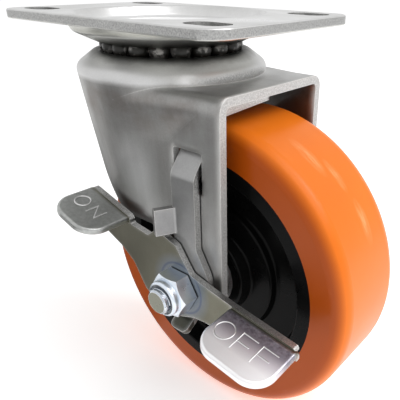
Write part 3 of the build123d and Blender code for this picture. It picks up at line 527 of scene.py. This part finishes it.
# Painted reflection: a darker blue ring at the nut's edge is painted on the lever plate.
nut_reflection_ring = add_math(lever, "MULTIPLY",
                       add_fade(lever, nut_distance, *NUT_RING_INSIDE),
                       add_fade(lever, nut_distance, *NUT_RING_OUTSIDE))
lever_colour = add_mix(lever, add_math(lever, "MULTIPLY", nut_reflection_ring, 0.7), lever_colour, (0.09, 0.11, 0.17))
plate_cut = add_math(lever, "MULTIPLY",
                     add_fade(lever, add_math(lever, "ABSOLUTE", lever_facing[1]), 0.40, 0.20),
                     add_fade(lever, lever_place[1], LEVER_FACE_Y - 0.0002, LEVER_FACE_Y + 0.0002))
lever_colour = add_cut_faces(lever, lever_colour, plate_cut, pale=0.75)
pad_mask = add_fade(lever, lever_place[1], LEVER_FACE_Y - 0.0004, LEVER_FACE_Y - 0.0016)
pad_speckle = use_group(lever, CLOUDS, Stretch=(1, 1, 1), Scale=900.0, Contrast=3.0)
pad_grey = add_mix(lever, pad_speckle, (0.36, 0.37, 0.36), (0.46, 0.47, 0.46))
lever_colour = add_mix(lever, pad_mask, lever_colour, pad_grey)
# Painted reflection on the OFF pedal: a highlight almost white at its rim, dark and speckled along its fold.
off_pad_reflection = add_fade(lever, lever_place[1], LEVER_FACE_Y - 0.001, OFF_PAD_RIM_Y)
off_pad_reflection_colour = add_ramp(lever, off_pad_reflection, [
    (0.0, (0.15, 0.14, 0.17)), (0.30, (0.27, 0.25, 0.29)),
    (0.55, (0.62, 0.59, 0.64)), (0.85, (0.95, 0.94, 0.96))])
off_pad_reflection_colour = add_mix(lever, add_fade(lever, off_pad_reflection, 0.35, 0.0), off_pad_reflection_colour,
                   add_mix(lever, pad_speckle, (0.10, 0.09, 0.12), (0.36, 0.35, 0.40)))
off_mask = add_math(lever, "MULTIPLY", pad_mask,
                    add_fade(lever, lever_place[0], OFF_PAD_X, OFF_PAD_X + 0.001))
lever_colour = add_mix(lever, off_mask, lever_colour, off_pad_reflection_colour)
finish_zinc(lever, lever_colour, lever_clouds, 0.34, fold=0.45, fold_share=0.3, grain=0.05)
dress("brake_lever", lever_zinc)

# %% [markdown]
# ## The pedal letters
# ON and OFF are stamped up from below as narrow ridges. Each stroke here is a thin round bar laid into
# the pedal so that only its top stands out, and the O is a small ring squashed to an oval. Bars are the
# simplest form that catches the light along its whole length as a stamped ridge does.

# %% Letters
RIDGE_RADIUS = 0.00024
RIDGE_RISE = 0.00004
ON_PAD = {"start": Vector((0.0066, -0.0268, -0.0595)), "angle": 163.0, "droop": 0.0}
OFF_PAD = {"start": Vector((0.0497, -0.0268, -0.0741)), "angle": -8.7, "droop": 7.0}

letter_steel, letter_tree, letter_colour, letter_clouds = start_zinc(
    "ridge_steel", (0.85, 0.85, 0.85), (0.62, 0.62, 0.62))
finish_zinc(letter_tree, letter_colour, letter_clouds, 0.26, fold_share=0.0)


def pad_frame(pad):
    """Turns a place on a pedal, along its fold and out from it, into the shared frame."""
    along = Vector((math.cos(math.radians(pad["angle"])), 0, math.sin(math.radians(pad["angle"]))))
    flat_up = along.cross(Vector((0, -1, 0)))
    if flat_up.z < 0:
        flat_up = -flat_up
    droop = math.radians(pad["droop"])
    outward = Vector((0, -1, 0)) * math.cos(droop) - flat_up * math.sin(droop)
    up = flat_up * math.cos(droop) + Vector((0, -1, 0)) * math.sin(droop)
    start = pad["start"]
    return Matrix((
        (along.x, outward.x, up.x, start.x),
        (along.y, outward.y, up.y, start.y),
        (along.z, outward.z, up.z, start.z),
        (0, 0, 0, 1),
    ))


def add_stroke(letters, start, end):
    """Round bar between two places on the pedal."""
    run = Vector(end) - Vector(start)
    middle = (Vector(start) + Vector(end)) / 2
    bar = bmesh.ops.create_cone(letters, cap_ends=True, segments=12, radius1=RIDGE_RADIUS,
                                radius2=RIDGE_RADIUS, depth=run.length + RIDGE_RADIUS)
    turn = Vector((0, 0, 1)).rotation_difference(Vector((run.x, run.y, 0))).to_matrix()
    bmesh.ops.rotate(letters, verts=bar["verts"], matrix=turn)
    bmesh.ops.translate(letters, verts=bar["verts"], vec=(middle.x, middle.y, RIDGE_RISE))


def add_oval(letters, centre, width, height):
    """Ring for an O: a small circle spun round and squashed."""
    ring = bmesh.ops.create_circle(letters, cap_ends=False, segments=10, radius=RIDGE_RADIUS)
    bmesh.ops.rotate(letters, verts=ring["verts"], matrix=Matrix.Rotation(math.radians(90), 3, "X"))
    bmesh.ops.translate(letters, verts=ring["verts"], vec=(width / 2, 0, 0))
    edges = list({edge for vert in ring["verts"] for edge in vert.link_edges})
    before = set(letters.verts) - set(ring["verts"])
    bmesh.ops.spin(letters, geom=ring["verts"] + edges, cent=(0, 0, 0), axis=(0, 0, 1),
                   angle=math.tau, steps=36, use_merge=True)
    oval = [vert for vert in letters.verts if vert not in before]
    bmesh.ops.scale(letters, verts=oval, vec=(1, height / width, 1))
    bmesh.ops.translate(letters, verts=oval, vec=(*centre, RIDGE_RISE))


def finish_letters(name, letters, pad):
    bmesh.ops.transform(letters, matrix=pad_frame(pad), verts=letters.verts)
    bmesh.ops.recalc_face_normals(letters, faces=letters.faces)
    data = bpy.data.meshes.new(name)
    letters.to_mesh(data)
    letters.free()
    data.materials.append(letter_steel)
    piece = bpy.data.objects.new(name, data)
    bpy.context.scene.collection.objects.link(piece)
    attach(piece, "brake_lever")
    print(name, "faces:", len(data.polygons))


ON_TOP = 0.0069
ON_FOOT = 0.0117
N_FIRST_STEM = 0.0096
N_LAST_STEM = 0.0055
on_letters = bmesh.new()
add_oval(on_letters, (0.0145, 0.0094), 0.0048, 0.0052)
add_stroke(on_letters, (N_FIRST_STEM, ON_FOOT), (N_FIRST_STEM, ON_TOP))
add_stroke(on_letters, (N_FIRST_STEM, ON_TOP), (N_LAST_STEM, ON_FOOT))
add_stroke(on_letters, (N_LAST_STEM, ON_FOOT), (N_LAST_STEM, ON_TOP))
finish_letters("on_letters", on_letters, ON_PAD)

F_STEMS = (0.0092, 0.0160)
F_FOOT = 0.0130
F_TOP = 0.0067
F_MIDDLE = 0.0099
F_LONG_BAR = 0.0050
F_SHORT_BAR = 0.0040
off_letters = bmesh.new()
add_oval(off_letters, (0.0046, 0.0096), 0.0058, 0.0062)
for stem in F_STEMS:
    add_stroke(off_letters, (stem, F_FOOT), (stem, F_TOP))
    add_stroke(off_letters, (stem, F_TOP), (stem + F_LONG_BAR, F_TOP))
    add_stroke(off_letters, (stem, F_MIDDLE), (stem + F_SHORT_BAR, F_MIDDLE))
finish_letters("off_letters", off_letters, OFF_PAD)

# %% [markdown]
# ## Bolt and nut
# The axle bolt and its lock nut are plated brighter than the sheet, with a cool tint. The bolt's sheared
# end face is duller, and the thread shows only on the short length that stands out of the nut.

# %% Bolt zinc
THREAD_RADIUS = 0.0040
THREAD_PITCH = 0.00125
THREAD_TURNS = 1.0
THREAD_STEPS = 32
THREAD_BEHIND_END = 0.0019
CREST_RISE = 0.00012
ROOT_DEPTH = 0.0002

bolt_zinc, bolt, bolt_colour, bolt_clouds = start_zinc(
    "bolt_zinc", (0.66, 0.71, 0.78), (0.46, 0.51, 0.58), cloud_scale=120.0)
bolt_facing = add_parts(bolt, "Normal")
end_face = add_math(bolt, "MULTIPLY",
                    add_fade(bolt, bolt_facing[1], -0.90, -0.97),
                    add_fade(bolt, add_distance(bolt, AXLE_PLACE, squash=(1, 0, 1)), THREAD_RADIUS, 0.0034))
bolt_colour = add_mix(bolt, end_face, bolt_colour, (0.22, 0.22, 0.18))
finish_zinc(bolt, bolt_colour, bolt_clouds, 0.20, fold_share=0.0, edge=0.85, grain=0.04)
dress("axle_bolt", bolt_zinc)
nut_zinc, nut, nut_colour, nut_clouds = start_zinc(
    "nut_zinc", (0.82, 0.88, 0.96), (0.62, 0.69, 0.78), cloud_scale=110.0)
finish_zinc(nut, nut_colour, nut_clouds, 0.30, fold_share=0.0, edge=0.85, grain=0.04)
dress("axle_nut", nut_zinc)
bolt_end_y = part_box("axle_bolt")[0][1]
print("bolt end at y in mm:", round(bolt_end_y * 1000, 2))

# %% Thread
thread = bmesh.new()
crest = thread.verts.new((THREAD_RADIUS + CREST_RISE, 0, 0))
root_low = thread.verts.new((THREAD_RADIUS - ROOT_DEPTH, 0, -THREAD_PITCH / 2))
root_high = thread.verts.new((THREAD_RADIUS - ROOT_DEPTH, 0, THREAD_PITCH / 2))
profile = [thread.edges.new((root_low, crest)), thread.edges.new((crest, root_high)),
           thread.edges.new((root_high, root_low))]
bmesh.ops.spin(thread, geom=[crest, root_low, root_high, *profile], cent=(0, 0, 0), axis=(0, 0, 1),
               dvec=(0, 0, THREAD_PITCH / THREAD_STEPS), angle=math.tau * THREAD_TURNS, steps=THREAD_STEPS)
bmesh.ops.holes_fill(thread, edges=[edge for edge in thread.edges if edge.is_boundary], sides=3)
bmesh.ops.recalc_face_normals(thread, faces=thread.faces)
bmesh.ops.rotate(thread, verts=thread.verts, matrix=Matrix.Rotation(math.radians(90), 3, "X"))
thread_place = (AXLE_PLACE[0], bolt_end_y + THREAD_BEHIND_END, AXLE_PLACE[2])
bmesh.ops.translate(thread, verts=thread.verts, vec=thread_place)
thread_data = bpy.data.meshes.new("bolt_thread")
thread.to_mesh(thread_data)
thread.free()
thread_data.materials.append(bolt_zinc)
bolt_thread = bpy.data.objects.new("bolt_thread", thread_data)
bpy.context.scene.collection.objects.link(bolt_thread)
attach(bolt_thread, "fork")
print("thread faces:", len(thread_data.polygons))

# %% [markdown]
# ## Grease in the races
# The balls and races are packed with dark grease. It fills the gaps and leaves only small bright
# glints where the steel shows through, so the balls are dark, glossy and patchy.

# %% Greased steel
def make_greased(name, steel, grease, cover):
    material = bpy.data.materials.new(name)
    material.use_nodes = True
    tree = material.node_tree
    shader = tree.nodes["Principled BSDF"]
    patches = use_group(tree, CLOUDS, Stretch=(1, 1, 1), Scale=420.0, Contrast=6.0)
    bare = add_math(tree, "SUBTRACT", patches, cover, clamp=True)
    tree.links.new(add_mix(tree, bare, grease, steel), shader.inputs["Base Color"])
    tree.links.new(add_mix(tree, bare, 0.0, 0.9), shader.inputs["Metallic"])
    tree.links.new(add_mix(tree, patches, 0.42, 0.20), shader.inputs["Roughness"])
    shader.inputs["Specular IOR Level"].default_value = 0.35
    return material


greased_balls = make_greased("greased_balls", (0.60, 0.58, 0.55), (0.020, 0.019, 0.016), 0.62)
greased_race = make_greased("greased_race", (0.35, 0.34, 0.32), (0.020, 0.019, 0.016), 0.60)
for name in ("main_balls", "thrust_balls"):
    dress(name, greased_balls)
dress("lower_race_cup", greased_race)
print("greased:", greased_balls.name, greased_race.name)

# %% [markdown]
# ## The tyre
# The tyre is polyurethane cast round the core: a saturated orange with a soft gloss. A few pale marks on
# the tread are partly scuffs from grit and partly painted highlight. Each is a long oval, set by its place
# on the wheel, and inside it stretched noise breaks the skin into pale streaks. Both side faces are darker,
# which stands in for shade and stays when a lamp moves.

# %% Polyurethane
SCUFFS_AND_HIGHLIGHTS = [((0.0560, -0.0027, -0.0342), 0.0050), ((0.0630, 0.0015, -0.0393), 0.0038),
          ((0.0725, 0.0027, -0.0515), 0.0046)]

polyurethane = bpy.data.materials.new("orange_polyurethane")
polyurethane.use_nodes = True
tyre = polyurethane.node_tree
tyre_shader = tyre.nodes["Principled BSDF"]
tint = use_group(tyre, CLOUDS, Stretch=(1, 1, 1), Scale=22.0, Contrast=1.6)
tyre_colour = add_mix(tyre, tint, (0.80, 0.165, 0.008), (0.90, 0.215, 0.014))
tyre_facing = add_parts(tyre, "Normal")
side_face = add_fade(tyre, add_math(tyre, "ABSOLUTE", tyre_facing[1]), 0.55, 0.95)
tyre_colour = add_mix(tyre, side_face, tyre_colour, (0.42, 0.070, 0.002))
flakes = use_group(tyre, CLOUDS, Stretch=(0.5, 2.2, 0.5), Scale=420.0, Contrast=2.6)
# Pale streaks in a few ovals: partly scuffs, partly a painted highlight where the tread catches light.
scuff_and_highlight_mask = 0.0
for centre, reach in SCUFFS_AND_HIGHLIGHTS:
    near = add_fade(tyre, add_distance(tyre, centre, squash=(0.6, 2.0, 0.6)), reach, 0.0)
    scuff_and_highlight_mask = add_math(tyre, "MAXIMUM", near, scuff_and_highlight_mask)
scuff_and_highlight_mask = add_math(tyre, "MULTIPLY", scuff_and_highlight_mask, flakes)
tyre_colour = add_mix(tyre, add_math(tyre, "MULTIPLY", scuff_and_highlight_mask, 0.70), tyre_colour, (0.98, 0.52, 0.24))
tyre.links.new(tyre_colour, tyre_shader.inputs["Base Color"])
tyre.links.new(add_mix(tyre, tint, 0.36, 0.26), tyre_shader.inputs["Roughness"])
tyre_shader.inputs["Specular IOR Level"].default_value = 0.24
tyre_bump = add_node(tyre, "ShaderNodeBump")
tyre_bump.inputs["Strength"].default_value = 0.3
tyre_bump.inputs["Distance"].default_value = 0.00015
tyre.links.new(scuff_and_highlight_mask, tyre_bump.inputs["Height"])
tyre.links.new(tyre_bump.outputs["Normal"], tyre_shader.inputs["Normal"])
dress("wheel_tread", polyurethane)
print("scuffs:", len(SCUFFS_AND_HIGHLIGHTS))

# %% [markdown]
# ## The core and the bearings
# The core is moulded black nylon, smooth enough to show soft reflections. The ground bearing rings,
# shields, spacers and the swivel's riveted pin are bright steel, and the nut's insert is pale nylon.

# %% Nylon and bearing steel
def make_nylon(name, dark, light, cloud_scale, rough_low, rough_high):
    material = bpy.data.materials.new(name)
    material.use_nodes = True
    tree = material.node_tree
    shader = tree.nodes["Principled BSDF"]
    clouds = use_group(tree, CLOUDS, Stretch=(1, 1, 1), Scale=cloud_scale, Contrast=2.0)
    tree.links.new(add_mix(tree, clouds, dark, light), shader.inputs["Base Color"])
    tree.links.new(add_mix(tree, clouds, rough_low, rough_high), shader.inputs["Roughness"])
    return material


black_nylon = make_nylon("black_nylon", 0.002, 0.005, 60.0, 0.20, 0.30)
black_nylon.node_tree.nodes["Principled BSDF"].inputs["Specular IOR Level"].default_value = 0.07
insert_nylon = make_nylon("insert_nylon", (0.10, 0.11, 0.12), (0.20, 0.22, 0.24), 300.0, 0.4, 0.5)
dress("wheel_core", black_nylon)
dress("nut_insert", insert_nylon)


def make_steel(name, light, dark, roughness):
    material, tree, colour, clouds = start_zinc(name, light, dark)
    finish_zinc(tree, colour, clouds, roughness, fold_share=0.0, grain=0.03)
    return material


bearing_steel = make_steel("ground_steel", (0.70, 0.70, 0.71), (0.58, 0.58, 0.59), 0.22)
spacer_steel = make_steel("turned_steel", (0.60, 0.60, 0.60), (0.48, 0.48, 0.48), 0.34)
for side in ("near", "far"):
    dress(f"axle_spacer_{side}", spacer_steel)
    dress(f"bearing_inner_ring_{side}", bearing_steel)
    dress(f"bearing_outer_ring_{side}", bearing_steel)
    dress(f"bearing_shields_{side}", bearing_steel)
    dress(f"bearing_balls_{side}", bearing_steel)
    dress(f"bearing_cage_{side}", insert_nylon)
dress("axle_sleeve", spacer_steel)
dress("king_pin", spacer_steel)
print("materials:", len(bpy.data.materials))
